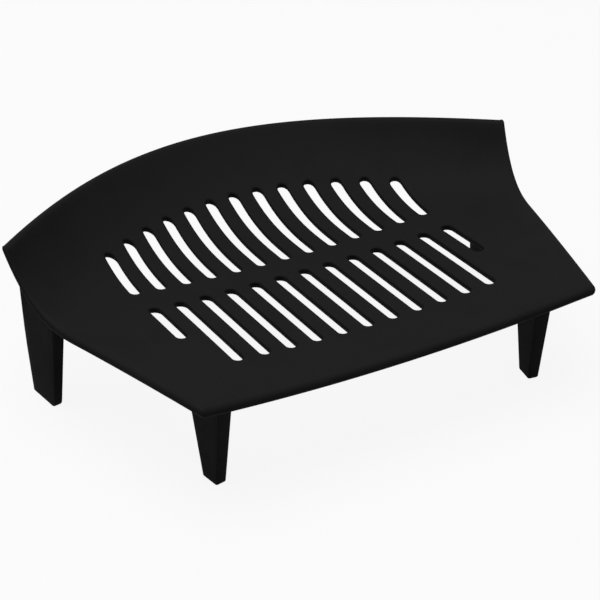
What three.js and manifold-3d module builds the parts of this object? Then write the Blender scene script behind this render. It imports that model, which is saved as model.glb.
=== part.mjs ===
// Log grate for an open fire: one dished cast-iron plate with two rows of slots, its front edge
// bowed and curled up to hold the logs, carried on four tapered cast legs bolted to lugs beneath.
// Millimetres, +Z up. Floor at z = 0, x = 0 is the middle, the front is towards -Y.
import * as THREE from 'three';
import { mergeVertices } from 'three/addons/utils/BufferGeometryUtils.js';
import Module from 'manifold-3d';

const wasm = await Module();
wasm.setup();

// ---- plan outline of the plate ----
const FRONT_HALF = 203.5; // half of the width at the front corners
const BACK_HALF = 150.8; // half of the width at the back corners
const FRONT_Y = -140.85; // middle of the bowed front edge
const FRONT_BOW = 103.9; // how far the front corners lie behind the middle
const BOW_EASE = 0.07; // the bow straightens a little towards the corners
const BACK_Y = 140.85; // middle of the back edge
const BACK_HOLLOW = 4.5; // how far the back corners lie behind the middle
const FRONT_CORNER_RADIUS = 3.5;
const BACK_CORNER_RADIUS = 2.5;

// ---- the dished surface ----
const BACK_HEIGHT = 73.4; // top of the plate at the middle of the back edge
const FALL = 10.1; // drop of the bed from back to front
const CURL_START = 0.593; // share of the depth where the front starts to curl up
const CURL_HEIGHT = 51; // rise of the curled front
const CURL_POWER = 2.67; // how fast the curl steepens
const SIDE_RISE_AT = 178.2; // distance from the middle where the side rises are measured
const SIDE_RISE_BACK = 14;
const SIDE_RISE_MIDDLE = 13.2;
const SIDE_RISE_FRONT = 6.3;
const SIDE_SWELL = 20; // lifts the sides a little more where the curl begins
const FIELD_THICKNESS = 5.1; // casting thickness among the slots
const RIM_THICKNESS = 8; // casting thickness along the rim
const RIM_BAND = 18; // width over which the rim thickens
const NOSE_REACH = 3.2; // how far from its edge the rim starts to round off
const NOSE_SQUARENESS = 2.4; // 2 would be an elliptical rounding
const NOSE_ANGLES = [0, 28, 50, 80]; // where it is sampled, 90 being its outermost line

// ---- the slots ----
const SLOT_PITCH = 19.8;
const SLOTS_EACH_SIDE = 6; // beside the middle slot of a row
const SLOT_HALF_WIDTH = 3.97; // at the top face
const SLOT_FLARE = 0.37; // widening on each side for every millimetre of depth
const FRONT_ROW = { front: -101.25, frontBow: 87.6, back: -15.25, backBow: -2.1 };
const BACK_ROW = { front: 4.75, frontBow: 7.7, back: 96.55, backBow: 0 };
const BACK_ROW_SHORT_END = 55.15; // back end of the two outermost slots of the back row

// ---- the legs: flat tapered blades, measured at the sole ----
const BACK_LEG = {
  x: 126.5, y: 110.65, turn: 9.5, width: 15.1, thickness: 7.8, frontTaper: 0.19, backTaper: 0.096,
  lean: 0.024, draft: 0.054, backRadius: 2.2, frontRadius: 1.2, joint: 1, boltHeight: 62,
};
const FRONT_LEG = {
  x: 184.2, y: -29.35, turn: 7.7, width: 28.8, thickness: 6.2, frontTaper: 0.079, backTaper: 0.143,
  lean: 0.013, draft: 0.042, backRadius: 4.8, frontRadius: 1.2, joint: -2, boltHeight: 62,
};
const LEG_BLANK_HEIGHT = 140; // taller than any leg, before the plate trims it
const ABOVE_ALL = 300; // a height above the whole grate, for the blocks that trim the legs
const LEG_RIM_INSET = 3; // a leg's upper end stays this far inside the plate's outline
const SEAT_GAP = 0.3; // clearance between pieces that bear on each other

// ---- a leg's ear, the plate's lug of the same thickness, and the M6 fasteners of both ----
const EAR = { thickness: 7, radius: 9, boltInset: 13, root: 3, footDrop: 11 };
const BOLT = { radius: 3, length: 25, headHeight: 4, headAcross: 10 };
const HOLE_RADIUS = 3.4;
const WASHER = { outer: 6, inner: 3.3, thickness: 1.6 };
const NUT = { across: 10, height: 5 };

// ---- helpers: between three.js meshes and solids ----
function toSolid(geometry) {
  const bare = geometry.clone();
  bare.deleteAttribute('normal');
  bare.deleteAttribute('uv');
  const welded = mergeVertices(bare, 1e-4);
  const triVerts = new Uint32Array(welded.index.array);
  const vertProperties = new Float32Array(welded.attributes.position.array);
  if (signedVolume(vertProperties, triVerts) < 0) triVerts.reverse();
  return new wasm.Manifold(new wasm.Mesh({ numProp: 3, vertProperties, triVerts }));
}

function signedVolume(points, triangles) {
  const corner = (i) => new THREE.Vector3().fromArray(points, 3 * triangles[i]);
  let volume = 0;
  for (let i = 0; i < triangles.length; i += 3) {
    volume += corner(i).dot(corner(i + 1).cross(corner(i + 2))) / 6;
  }
  return volume;
}

function toGeometry(solid) {
  const { vertProperties, triVerts } = solid.getMesh();
  const geometry = new THREE.BufferGeometry();
  geometry.setAttribute('position', new THREE.BufferAttribute(vertProperties, 3));
  geometry.setIndex(new THREE.BufferAttribute(triVerts, 1));
  return geometry;
}

// A closed skin over a grid of points: top[i][j] above bottom[i][j], with walls all round.
function gridSolid(top, bottom) {
  const rows = top.length;
  const perRow = top[0].length;
  const positions = [...top.flat(), ...bottom.flat()].flatMap((p) => p.toArray());
  const under = rows * perRow;
  const index = [];
  const quad = (a, b, c, d) => index.push(a, b, c, a, c, d);
  for (let i = 0; i < rows - 1; i += 1) {
    for (let j = 0; j < perRow - 1; j += 1) {
      const a = i * perRow + j;
      const b = a + 1;
      const c = b + perRow;
      const d = a + perRow;
      quad(a, b, c, d);
      quad(under + d, under + c, under + b, under + a);
    }
  }
  const border = [];
  for (let j = 0; j < perRow - 1; j += 1) border.push(j);
  for (let i = 0; i < rows - 1; i += 1) border.push(i * perRow + perRow - 1);
  for (let j = perRow - 1; j > 0; j -= 1) border.push((rows - 1) * perRow + j);
  for (let i = rows - 1; i > 0; i -= 1) border.push(i * perRow);
  border.forEach((a, k) => {
    const b = border[(k + 1) % border.length];
    quad(a, under + a, under + b, b);
  });
  const geometry = new THREE.BufferGeometry();
  geometry.setAttribute('position', new THREE.Float32BufferAttribute(positions, 3));
  geometry.setIndex(index);
  return toSolid(geometry);
}

// ---- the plate's form ----
function frontEdge(x) {
  const s = (x / FRONT_HALF) ** 2;
  return FRONT_Y + FRONT_BOW * ((1 + BOW_EASE) * s - BOW_EASE * s * s);
}

function backEdge(x) {
  return BACK_Y + BACK_HOLLOW * (x / BACK_HALF) ** 2;
}

function sideEdge(y) {
  const share = (backEdge(BACK_HALF) - y) / (backEdge(BACK_HALF) - frontEdge(FRONT_HALF));
  return THREE.MathUtils.lerp(BACK_HALF, FRONT_HALF, share);
}

// Share of the depth, 0 at the back edge and 1 at the front edge.
function depthShare(x, y) {
  return (backEdge(x) - y) / (backEdge(x) - frontEdge(x));
}

function topHeight(x, y) {
  const v = depthShare(x, y);
  const curl = Math.max(0, (v - CURL_START) / (1 - CURL_START)) ** CURL_POWER;
  const sideRise = SIDE_RISE_BACK * (1 - v) * (1 - 2 * v)
    + SIDE_RISE_MIDDLE * 4 * v * (1 - v)
    + SIDE_RISE_FRONT * v * (2 * v - 1);
  const swell = SIDE_SWELL * v ** 4 * (1 - v);
  const aside = (x / SIDE_RISE_AT) ** 2;
  return BACK_HEIGHT - FALL * v + CURL_HEIGHT * curl + sideRise * aside + swell * aside * aside;
}

// Square to the surface as seen from the side: the casting's thickness is measured this way, so the
// rim of the curled front is square to the wall and the side edges stay upright.
function surfaceNormal(x, y) {
  const step = 0.5;
  const slope = (topHeight(x, y + step) - topHeight(x, y - step)) / (2 * step);
  return new THREE.Vector3(0, -slope, 1).normalize();
}

function thicknessAt(x, y) {
  const toEdge = Math.min(y - frontEdge(x), backEdge(x) - y, sideEdge(y) - Math.abs(x));
  const rim = THREE.MathUtils.clamp(1 - toEdge / RIM_BAND, 0, 1);
  return FIELD_THICKNESS + (RIM_THICKNESS - FIELD_THICKNESS) * rim * rim;
}

// The rounded rim: from the flat bed outwards, how far inside the edge a line lies and by what
// share of half the thickness it has dropped.
const RIM_NOSE = NOSE_ANGLES.map(THREE.MathUtils.degToRad).map((angle) => ({
  inset: NOSE_REACH * (1 - Math.sin(angle) ** (2 / NOSE_SQUARENESS)),
  drop: 1 - Math.cos(angle) ** (2 / NOSE_SQUARENESS),
}));

// The plate is laid out in lines: straight front to back among the slots, then fanning out to
// follow the straight sides. Rows run across it, closer together where the front curls up.
const SLOT_ZONE = (SLOTS_EACH_SIDE + 0.5) * SLOT_PITCH;
const FAN_STEPS = 4;
const BED_ROWS = [0.03, 0.065, 0.13, 0.22, 0.31, 0.4, 0.5];
const CURL_ROWS = 12;
const CURL_ROW_SPACING = 0.9; // below 1 the rows crowd towards the rim

function plateLines() {
  const right = [];
  for (let i = 0; i <= SLOTS_EACH_SIDE; i += 1) right.push({ x: (i + 0.5) * SLOT_PITCH, fan: 0 });
  for (let k = 1; k < FAN_STEPS; k += 1) right.push({ x: SLOT_ZONE, fan: k / FAN_STEPS });
  RIM_NOSE.forEach((nose) => right.push({ x: SLOT_ZONE, fan: 1, ...nose }));
  const left = right.map((line) => ({ ...line, mirrored: true })).reverse();
  return [...left, ...right];
}

function plateRows() {
  const rows = RIM_NOSE.map(({ inset, drop }) => ({ share: 0, inset: -inset, drop })).reverse();
  BED_ROWS.forEach((share) => rows.push({ share }));
  for (let k = 0; k < CURL_ROWS; k += 1) {
    const share = (k / CURL_ROWS) ** CURL_ROW_SPACING;
    rows.push({ share: THREE.MathUtils.lerp(CURL_START, 1, share) });
  }
  RIM_NOSE.forEach((nose) => rows.push({ share: 1, ...nose }));
  return rows;
}

function platePoint(line, row) {
  const sideX = THREE.MathUtils.lerp(BACK_HALF, FRONT_HALF, row.share);
  const sideY = THREE.MathUtils.lerp(backEdge(BACK_HALF), frontEdge(FRONT_HALF), row.share);
  const x = THREE.MathUtils.lerp(line.x, sideX, line.fan) - (line.inset ?? 0);
  const v = THREE.MathUtils.lerp(row.share, depthShare(sideX, sideY), line.fan);
  const y = THREE.MathUtils.lerp(backEdge(x), frontEdge(x), v);
  const inset = (row.inset ?? 0) * surfaceNormal(x, y).z;
  return { x: line.mirrored ? -x : x, y: y + inset };
}

// Both faces of the plate, with its rim rounded off or left square.
function plateFaces(rounded) {
  const faces = { top: [], bottom: [] };
  plateRows().forEach((row) => {
    const top = [];
    const bottom = [];
    plateLines().forEach((line) => {
      const { x, y } = platePoint(line, row);
      const normal = surfaceNormal(x, y);
      const thickness = thicknessAt(x, y);
      const share = rounded ? Math.max(line.drop ?? 0, row.drop ?? 0) : 0;
      const drop = (share * thickness) / 2;
      const point = new THREE.Vector3(x, y, topHeight(x, y));
      top.push(point.clone().addScaledVector(normal, -drop));
      bottom.push(point.clone().addScaledVector(normal, drop - thickness));
    });
    faces.top.push(top.reverse());
    faces.bottom.push(bottom.reverse());
  });
  return faces;
}

// One slot: a run of cross-sections from end to end, half round at both ends, flaring downwards.
function slotCutter(x, front, back) {
  const above = 2;
  const below = 9;
  const spacing = 14; // between cross-sections, at most
  const endAngles = [18, 54, 90].map(THREE.MathUtils.degToRad);
  const ringAt = (lift) => {
    const radius = SLOT_HALF_WIDTH - SLOT_FLARE * lift;
    const frontCentre = front + SLOT_HALF_WIDTH * Math.cos(endAngles[0]);
    const backCentre = back - SLOT_HALF_WIDTH * Math.cos(endAngles[0]);
    const steps = Math.max(2, Math.ceil((backCentre - frontCentre) / spacing));
    const stations = endAngles.map((angle) => [
      frontCentre - radius * Math.cos(angle), radius * Math.sin(angle)]);
    for (let k = 1; k < steps; k += 1) {
      stations.push([THREE.MathUtils.lerp(frontCentre, backCentre, k / steps), radius]);
    }
    [...endAngles].reverse().forEach((angle) => stations.push([
      backCentre + radius * Math.cos(angle), radius * Math.sin(angle)]));
    return stations.map(([y, half]) => [-half, half].map((offset) => new THREE.Vector3(
      x + offset, y, topHeight(x + offset, y) + lift)));
  };
  return gridSolid(ringAt(above), ringAt(-below));
}

function slotCutters() {
  const cutters = [];
  for (let i = -SLOTS_EACH_SIDE; i <= SLOTS_EACH_SIDE; i += 1) {
    const x = i * SLOT_PITCH;
    const bow = (x / SIDE_RISE_AT) ** 2;
    const outermost = Math.abs(i) === SLOTS_EACH_SIDE;
    const backEnd = outermost ? BACK_ROW_SHORT_END : BACK_ROW.back + BACK_ROW.backBow * bow;
    cutters.push(slotCutter(
      x, FRONT_ROW.front + FRONT_ROW.frontBow * bow, FRONT_ROW.back + FRONT_ROW.backBow * bow));
    cutters.push(slotCutter(x, BACK_ROW.front + BACK_ROW.frontBow * bow, backEnd));
  }
  return cutters;
}

// Rounds one corner of the outline: cuts away what lies outside an arc that meets both edges.
function cornerCutter(x, y, alongSide, alongEnd, radius) {
  const half = alongSide.angleTo(alongEnd) / 2;
  const reach = radius / Math.tan(half);
  const centre = alongSide.clone().add(alongEnd).normalize().multiplyScalar(radius / Math.sin(half));
  const start = alongSide.clone().multiplyScalar(reach);
  const end = alongEnd.clone().multiplyScalar(reach);
  const steps = 4;
  const depth = 40; // well through the plate
  const shape = new THREE.Shape();
  for (let k = 0; k <= steps; k += 1) {
    const spoke = start.clone().lerp(end, k / steps).sub(centre).setLength(radius).add(centre);
    if (k === 0) shape.moveTo(spoke.x, spoke.y);
    else shape.lineTo(spoke.x, spoke.y);
  }
  const outside = centre.clone().multiplyScalar(-1.5);
  shape.lineTo(outside.x, outside.y);
  const geometry = new THREE.ExtrudeGeometry(shape, { depth, bevelEnabled: false });
  geometry.translate(0, 0, -depth / 2);
  const normal = surfaceNormal(x, y);
  geometry.applyQuaternion(new THREE.Quaternion().setFromUnitVectors(
    new THREE.Vector3(0, 0, 1), normal));
  geometry.translate(x, y, topHeight(x, y));
  return toSolid(geometry);
}

function cornerCutters() {
  const cutters = [];
  const backY = backEdge(BACK_HALF);
  const frontY = frontEdge(FRONT_HALF);
  [-1, 1].forEach((side) => {
    const sideways = new THREE.Vector2(side * (FRONT_HALF - BACK_HALF), frontY - backY).normalize();
    const frontSlope = frontEdge(FRONT_HALF) - frontEdge(FRONT_HALF - 1);
    const backSlope = backEdge(BACK_HALF) - backEdge(BACK_HALF - 1);
    cutters.push(cornerCutter(side * FRONT_HALF, frontY, sideways.clone().negate(),
      new THREE.Vector2(-side, -frontSlope).normalize(), FRONT_CORNER_RADIUS));
    cutters.push(cornerCutter(side * BACK_HALF, backY, sideways.clone(),
      new THREE.Vector2(-side, -backSlope).normalize(), BACK_CORNER_RADIUS));
  });
  return cutters;
}

// Everything from the plate's underside upwards, with a small gap: it trims the legs to fit.
function seatBlock() {
  const { bottom } = plateFaces(false);
  const lowered = bottom.map((row) => row.map((p) => p.clone().setZ(p.z - SEAT_GAP)));
  const ceiling = lowered.map((row) => row.map((p) => p.clone().setZ(ABOVE_ALL)));
  return gridSolid(ceiling, lowered);
}

// Everything below the middle of the plate's thickness: it trims the tops of the lugs.
function underBlock() {
  const { bottom } = plateFaces(false);
  const middle = bottom.map((row) => row.map((p) => p.clone().setZ(p.z + FIELD_THICKNESS / 2)));
  const floor = middle.map((row) => row.map((p) => p.clone().setZ(0)));
  return gridSolid(middle, floor);
}

// A tall block inside the plate's outline: it trims the legs where the bowed front edge crosses them.
function outlineBlock() {
  const { bottom } = plateFaces(false);
  const ringAt = (z) => bottom.map((row) => row.map((p) => {
    const plan = new THREE.Vector3(p.x, p.y, 0);
    return plan.setLength(plan.length() - LEG_RIM_INSET).setZ(z);
  }));
  return gridSolid(ringAt(ABOVE_ALL), ringAt(-ABOVE_ALL));
}

// ---- legs ----
// A leg's own frame: origin at the foot of its inner face, X along the blade, Y outwards, Z up.
function legFrame(leg, side) {
  const turn = THREE.MathUtils.degToRad(leg.turn);
  const along = new THREE.Vector3(Math.sin(turn), -side * Math.cos(turn), 0);
  const outward = new THREE.Vector3(side * Math.cos(turn), Math.sin(turn), 0);
  const tilted = outward.clone().setZ(leg.lean).normalize();
  const up = new THREE.Vector3().crossVectors(along, tilted);
  const foot = new THREE.Vector3(side * leg.x, leg.y, 0)
    .addScaledVector(outward, -leg.thickness / 2);
  return new THREE.Matrix4().makeBasis(along, tilted, up).setPosition(foot);
}

// The blade's outline, seen square on: narrow rounded foot, widening upwards.
function bladeShape(leg, side) {
  const sink = -3; // below the floor, where the sole is trimmed level
  const frontX = (height) => side * (leg.width / 2 + leg.frontTaper * height);
  const backX = (height) => -side * (leg.width / 2 + leg.backTaper * height);
  const shape = new THREE.Shape();
  const inset = (radius) => side * radius;
  shape.moveTo(backX(0) + inset(leg.backRadius), sink);
  shape.lineTo(backX(0) + inset(leg.backRadius), 0);
  shape.quadraticCurveTo(backX(0), 0, backX(leg.backRadius), leg.backRadius);
  shape.lineTo(backX(LEG_BLANK_HEIGHT), LEG_BLANK_HEIGHT);
  shape.lineTo(frontX(LEG_BLANK_HEIGHT), LEG_BLANK_HEIGHT);
  shape.lineTo(frontX(leg.frontRadius), leg.frontRadius);
  shape.quadraticCurveTo(frontX(0), 0, frontX(0) - inset(leg.frontRadius), 0);
  shape.lineTo(frontX(0) - inset(leg.frontRadius), sink);
  return shape;
}

// Extrudes the outline to a thickness that grows with height, as a casting's draft does.
function bladeGeometry(leg, side) {
  const geometry = new THREE.ExtrudeGeometry(
    bladeShape(leg, side), { depth: 1, bevelEnabled: false, curveSegments: 4 });
  const { position } = geometry.attributes;
  for (let i = 0; i < position.count; i += 1) {
    const height = position.getY(i);
    const outward = (1 - position.getZ(i)) * (leg.thickness + leg.draft * height);
    position.setXYZ(i, position.getX(i), outward, height);
  }
  return geometry;
}

// An upright plate across a leg's inner side, drawn as (distance inwards, height).
function crossPlate(shape, side, from, to) {
  const geometry = new THREE.ExtrudeGeometry(
    shape, { depth: 1, bevelEnabled: false, curveSegments: 8 });
  const { position } = geometry.attributes;
  for (let i = 0; i < position.count; i += 1) {
    const along = THREE.MathUtils.lerp(from, to, position.getZ(i));
    position.setXYZ(i, side * along, -position.getX(i), position.getY(i));
  }
  return geometry;
}

// The leg's ear: a gusset that runs out from the blade and is rounded off under the bolt.
function earShape(leg) {
  const shape = new THREE.Shape();
  shape.moveTo(-EAR.root, LEG_BLANK_HEIGHT);
  shape.lineTo(-EAR.root, leg.boltHeight - EAR.footDrop);
  shape.lineTo(0, leg.boltHeight - EAR.footDrop);
  shape.absarc(EAR.boltInset, leg.boltHeight, EAR.radius, -2 * Math.PI / 3, 0, false);
  shape.lineTo(EAR.boltInset + EAR.radius, LEG_BLANK_HEIGHT);
  return shape;
}

// The plate's lug: a round-ended tongue that lies against the ear.
function lugShape(leg) {
  const shape = new THREE.Shape();
  shape.moveTo(EAR.boltInset - EAR.radius, LEG_BLANK_HEIGHT);
  shape.absarc(EAR.boltInset, leg.boltHeight, EAR.radius, -Math.PI, 0, false);
  shape.lineTo(EAR.boltInset + EAR.radius, LEG_BLANK_HEIGHT);
  return shape;
}

function boltHole(leg, side) {
  const through = 40;
  const geometry = new THREE.CylinderGeometry(HOLE_RADIUS, HOLE_RADIUS, through, 20);
  geometry.rotateZ(Math.PI / 2);
  return geometry.translate(side * leg.joint, -EAR.boltInset, leg.boltHeight);
}

function legSolid(leg, side, frame, { seat, outline, floor }) {
  const toWorld = (geometry) => toSolid(geometry.applyMatrix4(frame));
  const ear = crossPlate(earShape(leg), side, leg.joint - EAR.thickness, leg.joint);
  const solid = toWorld(bladeGeometry(leg, side))
    .add(toWorld(ear))
    .subtract(toWorld(boltHole(leg, side)))
    .subtract(seat)
    .subtract(floor)
    .intersect(outline);
  return toGeometry(solid).applyMatrix4(frame.clone().invert());
}

function lugSolid(leg, side, frame) {
  const start = leg.joint + SEAT_GAP;
  const tongue = crossPlate(lugShape(leg), side, start, start + EAR.thickness);
  return toSolid(tongue.applyMatrix4(frame));
}

// ---- fasteners, drawn along Y and turned to lie along the blade ----
function hexagon(across) {
  const shape = new THREE.Shape();
  for (let k = 0; k < 6; k += 1) {
    const angle = ((k + 0.5) * Math.PI) / 3;
    const radius = across / 2 / Math.cos(Math.PI / 6);
    const point = [radius * Math.cos(angle), radius * Math.sin(angle)];
    if (k === 0) shape.moveTo(...point);
    else shape.lineTo(...point);
  }
  return shape;
}

// A hexagon from y = 0 to its height, its corners turned down to a 30 degree cone at one or both ends.
function hexBody(across, height, bothEnds) {
  const prism = new THREE.ExtrudeGeometry(hexagon(across), { depth: height, bevelEnabled: false });
  prism.rotateX(-Math.PI / 2);
  const corner = across / 2 / Math.cos(Math.PI / 6) + 0.1; // just outside the hexagon's corners
  const flat = across / 2 - 0.2; // radius of the round face that the cone leaves
  const fall = (corner - flat) * Math.tan(Math.PI / 6);
  const profile = [
    [0, bothEnds ? 0 : -1], [bothEnds ? flat : corner, bothEnds ? 0 : -1],
    [corner, bothEnds ? fall : -0.5], [corner, height - fall], [flat, height], [0, height],
  ].map(([r, y]) => new THREE.Vector2(r, y));
  const cone = new THREE.LatheGeometry(profile, 24);
  return toSolid(prism).intersect(toSolid(cone));
}

function boltGeometry() {
  const head = hexBody(BOLT.headAcross, BOLT.headHeight, false);
  const tip = 0.8; // chamfer at the end of the thread
  const profile = [
    [0, 1], [BOLT.radius, 1], [BOLT.radius, -BOLT.length + tip],
    [BOLT.radius - tip, -BOLT.length], [0, -BOLT.length],
  ].map(([r, y]) => new THREE.Vector2(r, y)).reverse();
  return toGeometry(head.add(toSolid(new THREE.LatheGeometry(profile, 16))));
}

function washerGeometry() {
  const profile = [
    [WASHER.inner, 0], [WASHER.outer, 0], [WASHER.outer, WASHER.thickness],
    [WASHER.inner, WASHER.thickness], [WASHER.inner, 0],
  ].map(([r, y]) => new THREE.Vector2(r, y));
  return new THREE.LatheGeometry(profile, 24);
}

function nutGeometry() {
  const body = hexBody(NUT.across, NUT.height, true);
  const through = 20;
  const radius = BOLT.radius + SEAT_GAP;
  const bore = new THREE.CylinderGeometry(radius, radius, through, 16);
  return toGeometry(body.subtract(toSolid(bore)));
}

// ---- materials ----
const castIron = () => new THREE.MeshStandardMaterial(
  { color: 0x1d1d1d, roughness: 0.6, metalness: 0.3 });
const blackenedSteel = () => new THREE.MeshStandardMaterial(
  { color: 0x2a2a2c, roughness: 0.45, metalness: 0.8 });

function piece(name, geometry, material) {
  geometry.computeVertexNormals();
  const mesh = new THREE.Mesh(geometry, material);
  mesh.name = name;
  return mesh;
}

// ---- assembly ----
const grate = new THREE.Group();
const under = underBlock();
const groundSize = 1000;
const ground = new THREE.BoxGeometry(groundSize, groundSize, groundSize);
const trims = {
  seat: seatBlock(),
  outline: outlineBlock(),
  floor: toSolid(ground.translate(0, 0, -groundSize / 2)),
};
const { top: topFace, bottom: bottomFace } = plateFaces(true);
let plate = gridSolid(topFace, bottomFace);
[...slotCutters(), ...cornerCutters()].forEach((cutter) => {
  plate = plate.subtract(cutter);
});

[['back', BACK_LEG], ['front', FRONT_LEG]].forEach(([end, leg]) => {
  [['left', -1], ['right', 1]].forEach(([hand, side]) => {
    const place = `${end}_${hand}`;
    const frame = legFrame(leg, side);
    const hole = toSolid(boltHole(leg, side).applyMatrix4(frame));
    plate = plate.add(lugSolid(leg, side, frame).intersect(under)).subtract(hole);

    const station = new THREE.Group();
    frame.decompose(station.position, station.quaternion, station.scale);
    station.add(piece(`leg_${place}`, legSolid(leg, side, frame, trims), castIron()));

    const headSeat = leg.joint - EAR.thickness - SEAT_GAP;
    const washerSeat = leg.joint + SEAT_GAP + EAR.thickness + SEAT_GAP;
    const nutSeat = washerSeat + WASHER.thickness + SEAT_GAP;
    const fasteners = [
      [`bolt_${place}`, boltGeometry(), headSeat, 1],
      [`washer_${place}`, washerGeometry(), washerSeat, -1],
      [`nut_${place}`, nutGeometry(), nutSeat, -1],
    ];
    fasteners.forEach(([name, geometry, along, facing]) => {
      const fastener = piece(name, geometry, blackenedSteel());
      fastener.position.set(side * along, -EAR.boltInset, leg.boltHeight);
      fastener.rotation.z = side * facing * Math.PI / 2;
      station.add(fastener);
    });
    grate.add(station);
  });
});
grate.add(piece('grate_plate', toGeometry(plate), castIron()));

export default grate;
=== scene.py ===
import math

import bmesh
import bpy
from mathutils import Matrix, Vector


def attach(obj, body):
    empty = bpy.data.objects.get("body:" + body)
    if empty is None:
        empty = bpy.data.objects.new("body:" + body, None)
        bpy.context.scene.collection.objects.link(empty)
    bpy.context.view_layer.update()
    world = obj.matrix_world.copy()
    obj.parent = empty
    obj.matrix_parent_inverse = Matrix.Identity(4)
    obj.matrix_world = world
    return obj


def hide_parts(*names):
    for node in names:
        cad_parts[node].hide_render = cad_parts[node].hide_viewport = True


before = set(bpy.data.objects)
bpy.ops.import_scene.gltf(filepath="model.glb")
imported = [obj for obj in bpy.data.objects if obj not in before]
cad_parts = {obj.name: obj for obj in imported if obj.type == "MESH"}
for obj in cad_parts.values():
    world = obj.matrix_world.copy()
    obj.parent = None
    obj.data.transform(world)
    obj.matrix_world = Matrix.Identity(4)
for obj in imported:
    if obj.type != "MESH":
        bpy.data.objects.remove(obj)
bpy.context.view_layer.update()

# ---- Camera ---------------------------------------------------------------------------------
# The photograph looks at the grate from behind, beyond its right end, and from above, through a
# long lens. The aim is the point on the bed that lies in the middle of the picture.
CAMERA_AZIMUTH = 149.76  # degrees, 0 looks at the front
CAMERA_ELEVATION = 30.98
CAMERA_ROLL = 0.42
CAMERA_DISTANCE = 1.197  # metres from the aim
CAMERA_AIM = Vector((0.00794, 0.01609, 0.05156))
LENS, SENSOR_WIDTH = 101.6, 36  # millimetres

azimuth, elevation = math.radians(CAMERA_AZIMUTH), math.radians(CAMERA_ELEVATION)
towards_camera = Vector((
    math.sin(azimuth) * math.cos(elevation),
    -math.cos(azimuth) * math.cos(elevation),
    math.sin(elevation),
))
camera = bpy.data.objects.new("camera", bpy.data.cameras.new("camera"))
bpy.context.scene.collection.objects.link(camera)
bpy.context.scene.camera = camera
camera.data.lens = LENS
camera.data.sensor_width = SENSOR_WIDTH
camera.location = CAMERA_AIM + towards_camera * CAMERA_DISTANCE
camera.rotation_euler = (
    towards_camera.to_track_quat("Z", "Y").to_matrix()
    @ Matrix.Rotation(math.radians(CAMERA_ROLL), 3, "Z")
).to_euler()

# ---- Grate plate ----------------------------------------------------------------------------
# One sand casting in grey iron: a dished bed with two rows of thirteen slots, its bowed front
# edge curled up to hold the fire, a thicker rounded rim and four lugs beneath for the legs.
FRONT_HALF, BACK_HALF = 203.5, 150.8  # millimetres, here and below, until a mesh is made
FRONT_Y, FRONT_BOW, BOW_EASE = -140.85, 103.9, 0.07
BACK_Y, BACK_HOLLOW = 140.85, 4.5
BACK_HEIGHT, FALL = 73.4, 10.1
CURL_START, CURL_HEIGHT, CURL_POWER = 0.593, 51, 2.67
SIDE_RISE_AT = 178.2
SIDE_RISE_BACK, SIDE_RISE_MIDDLE, SIDE_RISE_FRONT, SIDE_SWELL = 14, 13.2, 6.3, 20
FIELD_THICKNESS, RIM_THICKNESS, RIM_BAND = 5.1, 7.85, 18
SLOPE_STEP = 0.5  # half the stretch over which a slope is taken
TRIES = 8  # rounds after which a sought height or place has come to rest


def front_edge(x):
    s = (x / FRONT_HALF) ** 2
    return FRONT_Y + FRONT_BOW * ((1 + BOW_EASE) * s - BOW_EASE * s * s)


def back_edge(x):
    return BACK_Y + BACK_HOLLOW * (x / BACK_HALF) ** 2


BACK_CORNER = Vector((BACK_HALF, back_edge(BACK_HALF)))
FRONT_CORNER = Vector((FRONT_HALF, front_edge(FRONT_HALF)))


def side_edge(y):
    share = (BACK_CORNER.y - y) / (BACK_CORNER.y - FRONT_CORNER.y)
    return BACK_HALF + (FRONT_HALF - BACK_HALF) * share


def top_height(x, y):
    v = (back_edge(x) - y) / (back_edge(x) - front_edge(x))
    curl = max(0, (v - CURL_START) / (1 - CURL_START)) ** CURL_POWER
    rise = (
        SIDE_RISE_BACK * (1 - v) * (1 - 2 * v)
        + SIDE_RISE_MIDDLE * 4 * v * (1 - v)
        + SIDE_RISE_FRONT * v * (2 * v - 1)
    )
    aside = (x / SIDE_RISE_AT) ** 2
    swell = SIDE_SWELL * v**4 * (1 - v) * aside**2
    return BACK_HEIGHT - FALL * v + CURL_HEIGHT * curl + rise * aside + swell


def square_to_bed(x, y):
    """The direction square to the bed as seen from the side."""
    slope = (top_height(x, y + SLOPE_STEP) - top_height(x, y - SLOPE_STEP)) / (2 * SLOPE_STEP)
    return Vector((0, -slope, 1)).normalized()


def thickness(x, y):
    thin = 1
    for to_edge in (y - front_edge(x), back_edge(x) - y, side_edge(y) - abs(x)):
        thin *= 1 - min(max(1 - to_edge / RIM_BAND, 0), 1) ** 2
    return FIELD_THICKNESS + (RIM_THICKNESS - FIELD_THICKNESS) * (1 - thin)


def in_casting(x, y, depth):
    """The point that lies depth millimetres inside the casting, below the bed's point x, y."""
    return Vector((x, y, top_height(x, y))) - square_to_bed(x, y) * depth


def underside(x, y):
    """Height of the casting's lower face straight above or below a point of the hearth."""
    above = y
    for _ in range(TRIES):
        shift = square_to_bed(x, above) * thickness(x, above)
        above = y + shift.y
    return top_height(x, above) - shift.z


# Columns of the mesh run from back to front: eight to a slot's pitch, then a fan to each side.
SLOT_PITCH, SLOTS_EACH_SIDE = 19.8, 6
PER_PITCH, FAN_COLUMNS = 8, 10
SLOT_ZONE = (SLOTS_EACH_SIDE + 0.5) * SLOT_PITCH
ZONE_MARGIN = 0.01  # keeps the zone's own last columns inside it
ZONE_COLUMNS = (2 * SLOTS_EACH_SIDE + 1) * PER_PITCH
LAST_COLUMN = ZONE_COLUMNS + 2 * FAN_COLUMNS

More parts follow.
